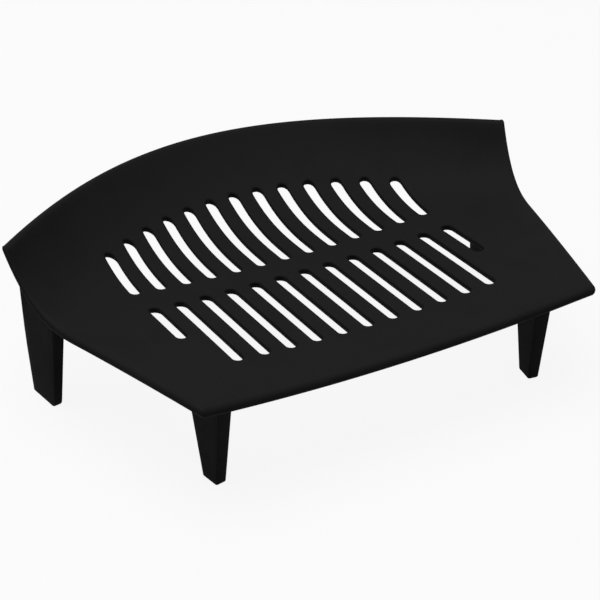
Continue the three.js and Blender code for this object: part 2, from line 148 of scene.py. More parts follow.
# Rows run from side to side: the back rim, the back row of slots, the front row, the curl.
BACK_ROW = {"front": 4.75, "front_bow": 7.7, "back": 96.55, "back_bow": 0}
FRONT_ROW = {"front": -101.25, "front_bow": 87.6, "back": -15.25, "back_bow": -2.1}
BACK_ROW_SHORT_END = 55.15
SLOT_END_MARGIN = 9
RIM_ROWS, SLOT_ROWS, SHORT_SLOT_ROWS, CURL_ROWS = 5, 18, 11, 10
WEB_ROW = RIM_ROWS + SLOT_ROWS
CURL_ROW = WEB_ROW + SLOT_ROWS
LAST_ROW = CURL_ROW + CURL_ROWS

# The rim's nose: how far it reaches outwards, how square it is (2 is a half circle), and how
# many steps there are over it and round a corner.
NOSE_REACH, NOSE_SQUARENESS, NOSE_STEPS, CORNER_STEPS = 3.2, 2, 8, 6


def lerp(a, b, share):
    return a + (b - a) * share


def bow(x):
    return (x / SIDE_RISE_AT) ** 2


def edge_foot(edge, x):
    """Where the nose starts, inside the front or back edge at x, and the way that it faces."""
    slope = (edge(x + SLOPE_STEP) - edge(x - SLOPE_STEP)) / (2 * SLOPE_STEP)
    facing = Vector((slope, -1) if edge is front_edge else (-slope, 1)).normalized()
    tilt = square_to_bed(x, edge(x))
    reach = NOSE_REACH * lerp(1, tilt.z, abs(facing.y))
    return Vector((x, edge(x))) - facing * reach, facing, reach


SIDE_FACING = (FRONT_CORNER - BACK_CORNER).orthogonal().normalized()
if SIDE_FACING.x < 0:
    SIDE_FACING.negate()


def foot_above(edge, x):
    """The nose's start whose own x is the one given."""
    along = x
    for _ in range(TRIES):
        along += x - edge_foot(edge, along)[0].x
    return along


def corner_along(edge, corner):
    """Where along an edge the nose's start is just as far inside the side edge."""
    tries, stride = 40, 0.7
    along = corner.x - NOSE_REACH
    for _ in range(tries):
        gap = (corner - edge_foot(edge, along)[0]).dot(SIDE_FACING) - NOSE_REACH
        along += stride * gap
    return along


CORNER_ALONG = {
    back_edge: corner_along(back_edge, BACK_CORNER),
    front_edge: corner_along(front_edge, FRONT_CORNER),
}


def row_y(x, row):
    """Where a row crosses the column at x, within the slots' zone."""
    bend = bow(x)
    start = edge_foot(back_edge, foot_above(back_edge, x))[0].y
    behind = BACK_ROW["back"] + BACK_ROW["back_bow"] * bend + SLOT_END_MARGIN
    web = (
        FRONT_ROW["back"] + FRONT_ROW["back_bow"] * bend
        + BACK_ROW["front"] + BACK_ROW["front_bow"] * bend
    ) / 2
    before = FRONT_ROW["front"] + FRONT_ROW["front_bow"] * bend - SLOT_END_MARGIN
    end = edge_foot(front_edge, foot_above(front_edge, x))[0].y
    if row <= RIM_ROWS:
        return lerp(start, behind, row / RIM_ROWS)
    if row <= WEB_ROW:
        return lerp(behind, web, (row - RIM_ROWS) / SLOT_ROWS)
    if row <= CURL_ROW:
        return lerp(web, before, (row - WEB_ROW) / SLOT_ROWS)
    return lerp(before, end, (row - CURL_ROW) / CURL_ROWS)


def edge_along(edge, column):
    """Which point of the front or back edge a column runs to."""
    middle = LAST_COLUMN / 2
    x = (column - middle) * SLOT_PITCH / PER_PITCH
    if abs(x) <= SLOT_ZONE + ZONE_MARGIN:
        return foot_above(edge, x)
    share = (abs(column - middle) - ZONE_COLUMNS / 2) / FAN_COLUMNS
    along = lerp(foot_above(edge, SLOT_ZONE), CORNER_ALONG[edge], share)
    return math.copysign(along, x)


def fan_point(column, row):
    """A point of the fan that widens from the slots' zone to a straight side."""
    hand = 1 if column > LAST_COLUMN / 2 else -1
    share = (abs(column - LAST_COLUMN / 2) - ZONE_COLUMNS / 2) / FAN_COLUMNS
    corners = [edge_foot(edge, CORNER_ALONG[edge])[0] for edge in (back_edge, front_edge)]
    ends = [Vector((SLOT_ZONE, row_y(SLOT_ZONE, each))) for each in (0, LAST_ROW)]
    inner = Vector((SLOT_ZONE, row_y(SLOT_ZONE, row)))
    depth = (ends[0].y - inner.y) / (ends[0].y - ends[1].y)
    point = lerp(inner, lerp(corners[0], corners[1], depth), share)
    for edge, corner, end, weight in (
        (back_edge, corners[0], ends[0], 1 - depth), (front_edge, corners[1], ends[1], depth),
    ):
        along = lerp(foot_above(edge, SLOT_ZONE), CORNER_ALONG[edge], share)
        point += (edge_foot(edge, along)[0] - lerp(end, corner, share)) * weight
    return hand * point.x, point.y


def plan_point(column, row):
    x = (column - LAST_COLUMN / 2) * SLOT_PITCH / PER_PITCH
    if abs(x) <= SLOT_ZONE + ZONE_MARGIN:
        return x, row_y(x, row)
    return fan_point(column, row)


plate_points, plate_faces, plate_known = [], [], {}
plate_slot_shade = []  # painted shade: 1 down a slot's wall, drawn near black there, and 0 elsewhere


def keep_point(point, painted_slot_shade=0):
    plate_points.append(point)
    plate_slot_shade.append(painted_slot_shade)
    return len(plate_points) - 1


def bed_point(column, row, under):
    """The mesh's point at a crossing, on the bed or on its underside."""
    key = (column, row, under)
    if key not in plate_known:
        x, y = plan_point(column, row)
        plate_known[key] = keep_point(in_casting(x, y, thickness(x, y) if under else 0))
    return plate_known[key]


def join_bands(bands, closed):
    """Quads between each list of points and the next."""
    for one, two in zip(bands, bands[1:]):
        count = len(one) if closed else len(one) - 1
        for k in range(count):
            after = (k + 1) % len(one)
            face = [one[k], one[after], two[after], two[k]]
            if one[k] == one[after]:
                face.pop(0)
            if face[-1] == face[-2]:
                face.pop()
            plate_faces.append(face)


def patch(columns, rows):
    """A plain stretch of the plate, bed and underside."""
    for under in (False, True):
        join_bands([[bed_point(c, r, under) for c in columns] for r in rows], closed=False)


# A slot is half round at both ends, widens downwards so that ash falls clear, and has edges
# that the sand mould and the fettling left soft.
SLOT_HALF_WIDTH, SLOT_FLARE = 3.55, 0.43
SLOT_EASE_WIDTH, SLOT_EASE_DEPTH, SLOT_BOTTOM_RADIUS = 1.8, 1.1, 0.6
EASE_TURNS, BOTTOM_TURNS = (0, 20, 40, 60, 90), (90, 45, 0)  # degrees over each rounded edge
MIDWAY = 0.5


def slot_plan(slot, rows, k, spread):
    """Point k round a slot's outline, with the outline spread outwards."""
    half = SLOT_HALF_WIDTH + spread
    back, front = slot["back"] - SLOT_HALF_WIDTH, slot["front"] + SLOT_HALF_WIDTH
    if k <= PER_PITCH:
        turn = math.pi * k / PER_PITCH
        return slot["x"] - half * math.cos(turn), back + half * math.sin(turn)
    k -= PER_PITCH
    if k < rows:
        return slot["x"] + half, lerp(back, front, k / rows)
    k -= rows
    if k <= PER_PITCH:
        turn = math.pi * k / PER_PITCH
        return slot["x"] + half * math.cos(turn), front - half * math.sin(turn)
    k -= PER_PITCH
    return slot["x"] - half, lerp(front, back, k / rows)


def slot_wall(slot, rows, k):
    """Points down a slot's wall, from the bed over the soft edge to the underside."""
    x, y = slot_plan(slot, rows, k, 0)
    deep = top_height(x, y) - underside(x, y)
    flare = SLOT_FLARE * (deep - SLOT_EASE_DEPTH)
    column = []
    for degrees in EASE_TURNS:
        turn = math.radians(degrees)
        x, y = slot_plan(slot, rows, k, SLOT_EASE_WIDTH * (1 - math.sin(turn)))
        depth = SLOT_EASE_DEPTH * (1 - math.cos(turn))
        column.append(Vector((x, y, top_height(x, y) - depth)))
    for degrees in BOTTOM_TURNS:
        turn = math.radians(degrees)
        x, y = slot_plan(slot, rows, k, flare + SLOT_BOTTOM_RADIUS * (1 - math.sin(turn)))
        height = SLOT_BOTTOM_RADIUS * (1 - math.cos(turn))
        column.append(Vector((x, y, underside(x, y) + height)))
    return column


def slot_cell(slot, first_column, first_row, last_row):
    """The stretch of plate round one slot, from its four border lines to the slot's walls."""
    last_column = first_column + PER_PITCH
    rows = last_row - first_row
    border = [(c, first_row) for c in range(first_column, last_column)]
    border += [(last_column, r) for r in range(first_row, last_row)]
    border += [(c, last_row) for c in range(last_column, first_column, -1)]
    border += [(first_column, r) for r in range(last_row, first_row, -1)]
    walls = [slot_wall(slot, rows, k) for k in range(len(border))]
    bands = []
    for under in (False, True):
        outer = [bed_point(c, r, under) for c, r in border]
        middle = []
        for k, index in enumerate(outer):
            x, y = plan_point(*border[k])
            wall = walls[k][-1 if under else 0]
            if under:
                x, y = plate_points[index].xy
            x, y = lerp(x, wall.x, MIDWAY), lerp(y, wall.y, MIDWAY)
            height = underside(x, y) if under else top_height(x, y)
            middle.append(keep_point(Vector((x, y, height))))
        bands.append([outer, middle])
    eased, last = len(EASE_TURNS) - 1, len(walls[0]) - 1
    # Painted shade: the weight for the near-black colour rises from the bed's edge to 1 down each
    # slot's wall.
    down = [
        [keep_point(wall[level], painted_slot_shade=min(level / eased, last - level, 1)) for wall in walls]
        for level in range(last + 1)
    ]
    join_bands([*bands[0], *down, *reversed(bands[1])], closed=True)


for i in range(-SLOTS_EACH_SIDE, SLOTS_EACH_SIDE + 1):
    x = i * SLOT_PITCH
    first = FAN_COLUMNS + (i + SLOTS_EACH_SIDE) * PER_PITCH
    columns = range(first, first + PER_PITCH + 1)
    outermost = abs(i) == SLOTS_EACH_SIDE
    back_rows = SHORT_SLOT_ROWS if outermost else SLOT_ROWS
    back_slot, front_slot = (
        {"x": x, "back": row["back"] + row["back_bow"] * bow(x),
         "front": row["front"] + row["front_bow"] * bow(x)}
        for row in (BACK_ROW, FRONT_ROW)
    )
    if outermost:
        back_slot["back"] = BACK_ROW_SHORT_END
    patch(columns, range(0, WEB_ROW - back_rows + 1))
    slot_cell(back_slot, first, WEB_ROW - back_rows, WEB_ROW)
    slot_cell(front_slot, first, WEB_ROW, CURL_ROW)
    patch(columns, range(CURL_ROW, LAST_ROW + 1))
patch(range(0, FAN_COLUMNS + 1), range(0, LAST_ROW + 1))
patch(range(LAST_COLUMN - FAN_COLUMNS, LAST_COLUMN + 1), range(0, LAST_ROW + 1))


# The rim: spokes point outwards all round, with a small fan of them at each corner.
def mirrored(way, hand):
    return Vector((hand * way.x, way.y))


def corner_spokes(column, row, start, end):
    """Spokes that turn from one edge's facing to the next one's, about one crossing."""
    turned = []
    for k in range(1, CORNER_STEPS):
        share = k / CORNER_STEPS
        way = start[0].lerp(end[0], share).normalized()
        turned.append((column, row, way, lerp(start[1], end[1], share)))
    return turned


def edge_spokes(edge, columns, row):
    spokes = []
    for column in columns:
        _, facing, reach = edge_foot(edge, edge_along(edge, column))
        spokes.append((column, row, facing, reach))
    return spokes


spokes = []
back_spokes = edge_spokes(back_edge, range(0, LAST_COLUMN + 1), 0)
front_spokes = edge_spokes(front_edge, range(LAST_COLUMN, -1, -1), LAST_ROW)
right_spokes = [(LAST_COLUMN, row, SIDE_FACING, NOSE_REACH) for row in range(LAST_ROW + 1)]
left_spokes = [
    (0, row, mirrored(SIDE_FACING, -1), NOSE_REACH) for row in range(LAST_ROW, -1, -1)
]
for edge_run, next_run in (
    (back_spokes, right_spokes), (right_spokes, front_spokes),
    (front_spokes, left_spokes), (left_spokes, back_spokes),
):
    spokes += edge_run
    column, row = edge_run[-1][:2]
    spokes += corner_spokes(column, row, edge_run[-1][2:], next_run[0][2:])

nose_bands = [[bed_point(column, row, False) for column, row, _, _ in spokes]]
for k in range(1, NOSE_STEPS):
    turn = math.pi * k / NOSE_STEPS
    out = math.sin(turn) ** (2 / NOSE_SQUARENESS)
    down = (1 - math.copysign(abs(math.cos(turn)) ** (2 / NOSE_SQUARENESS), math.cos(turn))) / 2
    band = []
    for column, row, facing, reach in spokes:
        x, y = Vector(plan_point(column, row)) + facing * (reach * out)
        band.append(keep_point(in_casting(x, y, thickness(x, y) * down)))
    nose_bands.append(band)
nose_bands.append([bed_point(column, row, True) for column, row, _, _ in spokes])
join_bands(nose_bands, closed=True)


MILLIMETRE, WELD_DISTANCE, SHORTEST_EDGE = 0.001, 1e-6, 1e-7  # metres


def cast_piece(name, points, faces, painted_slot_shade=()):
    """A closed mesh in metres from points in millimetres, with its faces turned outwards."""
    mesh = bpy.data.meshes.new(name)
    mesh.from_pydata([MILLIMETRE * p for p in points], [], faces)
    # The weight of the painted shade down the slots' walls goes to the material.
    if painted_slot_shade:
        mesh.attributes.new("painted_slot_shade", "FLOAT", "POINT").data.foreach_set("value", painted_slot_shade)
    made = bpy.data.objects.new(name, mesh)
    bpy.context.scene.collection.objects.link(made)
    shape = bmesh.new()
    shape.from_mesh(mesh)
    bmesh.ops.remove_doubles(shape, verts=shape.verts, dist=WELD_DISTANCE)
    bmesh.ops.dissolve_degenerate(shape, edges=shape.edges, dist=SHORTEST_EDGE)
    bmesh.ops.recalc_face_normals(shape, faces=shape.faces)
    shape.to_mesh(mesh)
    shape.free()
    return made


def cut_or_join(made, other, operation):
    """Joins another closed mesh to a piece, or cuts it away."""
    boolean = made.modifiers.new("fettling", "BOOLEAN")
    boolean.object = other
    boolean.operation = operation
    boolean.solver = "EXACT"
    bpy.context.view_layer.update()
    finished = bpy.data.meshes.new_from_object(
        made.evaluated_get(bpy.context.evaluated_depsgraph_get()))
    made.modifiers.clear()
    made.data = finished
    bpy.data.objects.remove(other)


def soften(made, degrees):
    """Smooth shading, except across edges that are sharper than the angle."""
    made.data.shade_smooth()
    made.data.set_sharp_from_angle(angle=math.radians(degrees))


# A lug hangs from the underside beside each leg: an upright tongue, round at its lower end
# about the bolt hole, with the fillet that a pattern needs where it meets the plate. It follows
# its leg, whose tapers, lean and draft are given for each millimetre of height, its turn in
# degrees, and its joint as the place along the blade where ear and lug face each other.
BACK_LEG = {
    "x": 126.5, "y": 110.65, "turn": 9.5, "width": 15.1, "thickness": 7.8,
    "front_taper": 0.19, "back_taper": 0.096, "lean": 0.024, "draft": 0.054,
    "back_radius": 2.2, "front_radius": 1.2, "joint": 1, "bolt_height": 62,
}
FRONT_LEG = {
    "x": 184.2, "y": -29.35, "turn": 7.7, "width": 28.8, "thickness": 6.2,
    "front_taper": 0.079, "back_taper": 0.143, "lean": 0.013, "draft": 0.042,
    "back_radius": 4.8, "front_radius": 1.2, "joint": -2, "bolt_height": 62,
}
LEGS = [
    (f"{end}_{hand}", leg, side)
    for end, leg in (("back", BACK_LEG), ("front", FRONT_LEG))
    for hand, side in (("left", -1), ("right", 1))
]
EAR_THICKNESS, EAR_RADIUS, BOLT_INSET, SEAT_GAP = 7, 9, 13, 0.3
HOLE_RADIUS, CHEEK_EDGE, CHEEK_FILLET = 3.4, 0.9, 3
LUG_ROOT = 1.5  # how far a lug runs up into the plate
CHEEK_SHARES = (0.3, 0.5, 0.65, 0.75, 0.82, 0.88, 0.94, 1)  # levels, closer near the fillet
QUARTER_TURNS = (0, 30, 60, 90)  # degrees over a rounded edge
CAST_EDGE = 40  # degrees at which an edge of a casting is still shaded smooth


def at_leg(leg, side, forwards, outwards, height):
    """A point near a leg: forwards along its blade, outwards from its inner face at the foot."""
    turn = math.radians(leg["turn"])
    ahead = Vector((side * math.sin(turn), -math.cos(turn), 0))
    out = Vector((side * math.cos(turn), math.sin(turn), 0))
    offset = outwards - leg["thickness"] / 2 - leg["lean"] * height
    return Vector((side * leg["x"], leg["y"], height)) + ahead * forwards + out * offset


def under_plate(leg, side, forwards, outwards):
    """Height of the plate's underside above a place near a leg."""
    height = leg["bolt_height"]
    for _ in range(TRIES):
        point = at_leg(leg, side, forwards, outwards, height)
        height = underside(point.x, point.y)
    return height


def fillet(distance):
    """How far a fillet stands out at a distance from the face that it runs into."""
    if distance >= CHEEK_FILLET:
        return 0
    return CHEEK_FILLET - math.sqrt(CHEEK_FILLET**2 - (CHEEK_FILLET - max(distance, 0)) ** 2)


def ring_faces(rings, size, hollow=False):
    """Quads from each ring of points to the next; a hollow form's last ring runs to its first."""
    faces = []
    for level in range(rings if hollow else rings - 1):
        one, two = level * size, (level + 1) % rings * size
        for k in range(size):
            after = (k + 1) % size
            faces.append([one + k, one + after, two + after, two + k])
    return faces


def end_faces(count, size):
    """The faces that close a form of count points at its first ring and its last."""
    return [list(range(size)), list(range(count - size, count))]


def cheek(name, leg, side, joint, inward, low, join_top):
    """An upright cheek on a leg's inner side, built up of slices from the blade inwards."""
    points = []
    for distance in inward:
        to_end = inward[-1] - distance
        half = EAR_THICKNESS / 2
        if not join_top:
            half += fillet(distance)
        if to_end < CHEEK_EDGE:
            half -= CHEEK_EDGE - math.sqrt(CHEEK_EDGE**2 - (CHEEK_EDGE - to_end) ** 2)
        both_sides = []
        for way in (1, -1):
            spread = half + (CHEEK_FILLET if join_top else 0)
            ceiling = under_plate(leg, side, joint + way * spread, -distance)
            top = ceiling + LUG_ROOT if join_top else ceiling - SEAT_GAP
            one_side = []
            for degrees in QUARTER_TURNS:
                turn = math.radians(degrees)
                across = half - CHEEK_EDGE * (1 - math.sin(turn))
                one_side.append((way * across, low(distance) + CHEEK_EDGE * (1 - math.cos(turn))))
            foot = one_side[-1][1]
            for share in CHEEK_SHARES:
                height = lerp(foot, top, share)
                swell = fillet(ceiling - height) if join_top else 0
                one_side.append((way * (half + swell), height))
            both_sides += one_side[::way]
        for across, height in both_sides:
            points.append(at_leg(leg, side, joint + across, -distance, height))
    ring = len(points) // len(inward)
    faces = ring_faces(len(inward), ring) + end_faces(len(points), ring)
    return cast_piece(name, points, faces)


AROUND = 36  # points round a bolt's axis


def about_bolt(name, leg, side, levels, hollow=False):
    """A closed form round a bolt's axis. A level is its place along the blade and the radius
    that it has at each turn; a hollow form's last level runs back to its first."""
    points = []
    for forwards, radius in levels:
        for k in range(AROUND):
            turn = 2 * math.pi * k / AROUND
            r = radius(turn, forwards) if callable(radius) else radius
            points.append(at_leg(
                leg, side, forwards, r * math.cos(turn) - BOLT_INSET,
                leg["bolt_height"] + r * math.sin(turn)))
    faces = ring_faces(len(levels), AROUND, hollow)
    if not hollow:
        faces += end_faces(len(points), AROUND)
    return cast_piece(name, points, faces)


def drill(leg, side):
    """The rod that cuts a bolt hole."""
    reach = 20
    levels = [(leg["joint"] + end, HOLE_RADIUS) for end in (-reach, reach)]
    return about_bolt("drill", leg, side, levels)


def round_below(leg):
    """The lower outline of an ear or lug: a half round about the bolt."""
    def low(distance):
        off = min(abs(distance - BOLT_INSET), EAR_RADIUS)
        return leg["bolt_height"] - math.sqrt(EAR_RADIUS**2 - off**2)
    return low


def round_steps(first):
    """Distances inwards across the half round about a bolt, from a turn in degrees onwards."""
    return [BOLT_INSET + EAR_RADIUS * math.sin(math.radians(d)) for d in range(first, 91, 10)]


grate_plate = cast_piece("grate_plate_casting", plate_points, plate_faces, plate_slot_shade)
for place, leg, side in LEGS:
    middle = leg["joint"] + SEAT_GAP + EAR_THICKNESS / 2
    lug = cheek(
        f"lug_{place}", leg, side, middle, round_steps(-90), round_below(leg), join_top=True)
    cut_or_join(grate_plate, lug, "UNION")
    cut_or_join(grate_plate, drill(leg, side), "DIFFERENCE")
soften(grate_plate, CAST_EDGE)


def linear(code):
    """An sRGB hex colour as the linear values that a shader takes, by that standard's curve."""
    channels = [int(code[k:k + 2], 16) / 255 for k in (1, 3, 5)]
    return (*(c / 12.92 if c <= 0.04045 else ((c + 0.055) / 1.055) ** 2.4 for c in channels), 1)


def add_node(material, kind, inputs=(), **settings):
    """A node with its settings; an input is a value or the socket that feeds it."""
    made = material.node_tree.nodes.new("ShaderNode" + kind)
    for name, value in settings.items():
        setattr(made, name, value)
    for name, value in dict(inputs).items():
        if isinstance(value, bpy.types.NodeSocket):
            material.node_tree.links.new(value, made.inputs[name])
        else:
            made.inputs[name].default_value = value
    return made


def new_material(name):
    material = bpy.data.materials.new(name)
    material.use_nodes = True
    material.node_tree.nodes.clear()
    return material


def per_metre(millimetres):
    """A texture's scale for a pattern of that size."""
    return 1000 / millimetres


# Grey iron cast in sand, fettled and painted with a black stove paint that dries to a soft satin.
# Faces that look up are satin; upright ones and the underside are matt and get a darker colour,
# which is painted shade, and the slots' walls are painted near black, which is painted shade too.
# The sand leaves slow hollows and a fine grain of about 0.3 mm, drawn at 1.4 mm so that it shows.
# Painted shade: the near-black colour down the slots' walls, and the share at which upright faces
# take the darker colour.
SLOT_SHADE_COLOUR, UPRIGHT_SHADE_SHARE = "#090909", 0.3
GRAIN_SIZE, GRAIN_DEPTH, GRAIN_STRENGTH = 1.4, 0.2, 0.6  # sizes and depths in millimetres
HOLLOW_SIZE, HOLLOW_DEPTH, HOLLOW_STRENGTH = 34, 0.6, 0.25
NOISE_LOW, NOISE_HIGH = 0.3, 0.7  # a noise's values hardly ever leave this range
FACING_UP_FROM, FACING_UP_FULLY = 0.05, 0.65  # how steeply a face looks up where its painted shade lightens to the satin paint
SHADE_AND_COAT_WANDER = 0.1
MATT, SATIN, GLOSS_WANDER = 0.9, 0.64, 0.05
PAINT_IOR, PAINT_SPECULAR = 1.5, 0.05  # so dry that the pale floor hardly shows in it


def cast_iron_in_stove_paint(name, upward_colour, painted_shade_colour):
    iron = new_material(name)
    place = add_node(iron, "TexCoord").outputs["Object"]
    grain = add_node(iron, "TexNoise", {
        "Vector": place, "Scale": per_metre(GRAIN_SIZE), "Detail": 4, "Roughness": 0.6})
    hollows = add_node(iron, "TexNoise", {
        "Vector": place, "Scale": per_metre(HOLLOW_SIZE), "Detail": 2, "Roughness": 0.5})
    # Painted shade and roughness: faces that look less upwards get a darker colour and a matter
    # surface.
    facing = add_node(iron, "SeparateXYZ", {
        "Vector": add_node(iron, "NewGeometry").outputs["Normal"]})
    facing_shade_and_coat = add_node(iron, "MapRange", {
        "Value": facing.outputs["Z"], "From Min": FACING_UP_FROM, "From Max": FACING_UP_FULLY,
        "To Min": UPRIGHT_SHADE_SHARE}).outputs["Result"]
    wander = add_node(iron, "MapRange", {
        "Value": hollows.outputs["Fac"], "From Min": NOISE_LOW, "From Max": NOISE_HIGH,
        "To Min": -SHADE_AND_COAT_WANDER, "To Max": SHADE_AND_COAT_WANDER}).outputs["Result"]
    wandering_shade_and_coat = add_node(iron, "Math", {0: facing_shade_and_coat, 1: wander}, operation="ADD").outputs["Value"]
    # Painted shade: the slots' walls are taken down to the near-black colour.
    painted_slot_shade = add_node(iron, "Attribute", attribute_name="painted_slot_shade").outputs["Fac"]
    shade_and_coat = add_node(iron, "Math", {0: wandering_shade_and_coat, 1: painted_slot_shade}, operation="SUBTRACT", use_clamp=True)
    # The ramp runs from the slots' painted shade through the upright faces' painted shade to the
    # paint's own colour.
    colour = add_node(iron, "ValToRGB", {"Fac": shade_and_coat.outputs["Value"]})
    colour.color_ramp.elements.new(UPRIGHT_SHADE_SHARE)
    for stop, paint_colour in zip(colour.color_ramp.elements, (SLOT_SHADE_COLOUR, painted_shade_colour, upward_colour)):
        stop.color = linear(paint_colour)
    speckle = add_node(iron, "MapRange", {
        "Value": grain.outputs["Fac"], "From Min": NOISE_LOW, "From Max": NOISE_HIGH,
        "To Min": -GLOSS_WANDER, "To Max": GLOSS_WANDER}).outputs["Result"]
    matt = add_node(iron, "MapRange", {
        "Value": shade_and_coat.outputs["Value"], "To Min": MATT, "To Max": SATIN}).outputs["Result"]
    roughness = add_node(iron, "Math", {0: matt, 1: speckle}, operation="ADD")
    slow = add_node(iron, "Bump", {
        "Height": hollows.outputs["Fac"],
        "Strength": HOLLOW_STRENGTH, "Distance": MILLIMETRE * HOLLOW_DEPTH})
    fine = add_node(iron, "Bump", {
        "Height": grain.outputs["Fac"], "Normal": slow.outputs["Normal"],
        "Strength": GRAIN_STRENGTH, "Distance": MILLIMETRE * GRAIN_DEPTH})
    paint = add_node(iron, "BsdfPrincipled", {
        "Base Color": colour.outputs["Color"], "Roughness": roughness.outputs["Value"],
        "Normal": fine.outputs["Normal"], "IOR": PAINT_IOR,
        "Specular IOR Level": PAINT_SPECULAR})
    add_node(iron, "OutputMaterial", {"Surface": paint.outputs["BSDF"]})
    return iron


# The second colour is painted shade on upright faces and the underside.
plate_paint = cast_iron_in_stove_paint(
    "painted_sand_cast_iron_plate", upward_colour="#1d1d1d", painted_shade_colour="#131313")
grate_plate.data.materials.append(plate_paint)
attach(grate_plate, "root")
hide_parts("grate_plate")

# ---- Legs -----------------------------------------------------------------------------------
# Four flat tapered castings, narrow at the floor and wider towards the plate, which rests on
# them. An ear on the inner side stands against the plate's lug and takes the bolt.
BLADE_EDGE, SOLE_EDGE = 1.1, 1.5
EAR_ROOT, EAR_FOOT_DROP = 3, 11
RIM_INSET = 3  # how far a leg stays inside the plate's front edge
FOOT_LEVELS = (0, 0.15, 0.5, 1, 1.7, 2.6, 3.7, 4.8, 7)
BLADE_SHARES = (0.15, 0.3, 0.45, 0.6, 0.75, 0.9, 1)
FACE_SHARES = (0.2, 0.4, 0.6, 0.8)

# Round a blade: share of its width (0 back, 1 front), share of its thickness (0 inside), and
# how far the rounded edge draws in each way.
blade_outline = []
for corner, (wide, thick) in enumerate([(0, 1), (1, 1), (1, 0), (0, 0)]):
    for degrees in QUARTER_TURNS:
        turn = math.radians(degrees if corner % 2 == 0 else 90 - degrees)
        blade_outline.append((
            wide, thick,
            BLADE_EDGE * (1 - math.cos(turn)), BLADE_EDGE * (1 - math.sin(turn))))
    if corner % 2 == 0:
        blade_outline += [(abs(wide - share), thick, 0, 0) for share in FACE_SHARES]


def foot_round(radius, height):
    """How far a rounded corner of the foot draws in at a height above the floor."""
    low = max(radius - height, 0)
    return radius - math.sqrt(radius**2 - low**2)


def blade_point(leg, side, outline, height):
    wide, thick, in_width, in_thickness = outline
    sole = foot_round(SOLE_EDGE, height)
    back = foot_round(leg["back_radius"], height) - leg["width"] / 2 - leg["back_taper"] * height
    front = leg["width"] / 2 + leg["front_taper"] * height
    front -= foot_round(leg["front_radius"], height)
    outer = leg["thickness"] + leg["draft"] * height
    forwards = lerp(back + in_width, front - in_width, wide)
    outwards = lerp(in_thickness + sole, outer - in_thickness - sole, thick)
    point = at_leg(leg, side, forwards, outwards, height)
    point.y = max(point.y, front_edge(point.x) + RIM_INSET)
    return point


def blade(name, leg, side):
    """A leg's blade, from its sole to the plate's underside, which it follows."""
    tops = []
    for outline in blade_outline:
        height = leg["bolt_height"]
        for _ in range(TRIES):
            point = blade_point(leg, side, outline, height)
            height = underside(point.x, point.y) - SEAT_GAP
        tops.append(height)
    ring, rings, lowest = len(blade_outline), len(FOOT_LEVELS + BLADE_SHARES), FOOT_LEVELS[-1]
    points = [blade_point(leg, side, o, level) for level in FOOT_LEVELS for o in blade_outline]
    points += [
        blade_point(leg, side, outline, lerp(lowest, top, share))
        for share in BLADE_SHARES for outline, top in zip(blade_outline, tops)
    ]
    faces = ring_faces(rings, ring)
    for start in (0, len(points) - ring):
        for n in range(ring // 2 - 1):
            facing = ring - 1 - n
            faces.append([start + n, start + n + 1, start + facing - 1, start + facing])
    return cast_piece(name, points, faces)


def ear_low(leg):
    """An ear's lower outline: a slope from the blade that runs into a half round."""
    round_part = round_below(leg)
    run_in = BOLT_INSET - EAR_RADIUS / 2

    def low(distance):
        if distance >= run_in:
            return round_part(distance)
        foot = leg["bolt_height"] - EAR_FOOT_DROP
        return lerp(foot, round_part(run_in), max(distance, 0) / run_in)
    return low


# The second colour is painted shade on upright faces and the underside.
leg_paint = cast_iron_in_stove_paint(
    "painted_sand_cast_iron_leg", upward_colour="#1b1b1b", painted_shade_colour="#141414")
EAR_STEPS = [-EAR_ROOT, 0, 0.4, 0.9, 1.6, 2.6, 4, 5.5, 7, BOLT_INSET - EAR_RADIUS / 2]
EAR_STEPS += round_steps(-20)
for place, leg, side in LEGS:
    casting = blade(f"leg_{place}_casting", leg, side)
    ear = cheek(
        f"ear_{place}", leg, side, leg["joint"] - EAR_THICKNESS / 2, EAR_STEPS, ear_low(leg),
        join_top=False)
    cut_or_join(casting, ear, "UNION")
    cut_or_join(casting, drill(leg, side), "DIFFERENCE")
    soften(casting, CAST_EDGE)
    casting.data.materials.append(leg_paint)
    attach(casting, "root")
    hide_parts(f"leg_{place}")

# ---- Bolts ----------------------------------------------------------------------------------
# Hexagon-headed M6 bolts, 25 mm long, one through each ear and lug. The head is forged with a
# turned-down crown; the thread of 1 mm pitch is rolled on the last 18 mm.
BOLT_RADIUS, BOLT_LENGTH, HEAD_HEIGHT, ACROSS_FLATS = 3, 25, 4, 10
THREAD_LENGTH, THREAD_PITCH, THREAD_DEPTH, THREAD_ROWS = 18, 1, 0.55, 6
THREAD_CREST, THREAD_FLANK, THREAD_START = 1.4, 2.2, 0.5  # breadth, steepness, plain run-in
TIP_CHAMFER, CROWN_ANGLE = 0.8, math.radians(30)
CROWN_FLAT, CROWN_MIDDLE = ACROSS_FLATS / 2 - 0.2, ACROSS_FLATS / 2 - 0.9
CROWN_LEVELS, CROWN_DEPTH = (0.15, 0.3, 0.5, 0.75), 1
SEAT_CHAMFER, SEAT_INSET = 0.2, 0.1
STEEL_EDGE = 35  # degrees at which an edge of a fastener is still shaded smooth


def hexagon(turn):
    """Radius of a hexagon of the bolt's size across its flats."""
    sixth = math.pi / 3
    return ACROSS_FLATS / 2 / math.cos((turn + sixth / 2) % sixth - sixth / 2)


def crowned(from_end):
    """A hexagon whose corners are turned down to a cone, at a distance from its end."""
    cone = CROWN_FLAT + from_end / math.tan(CROWN_ANGLE)
    return lambda turn, forwards: min(hexagon(turn), cone)


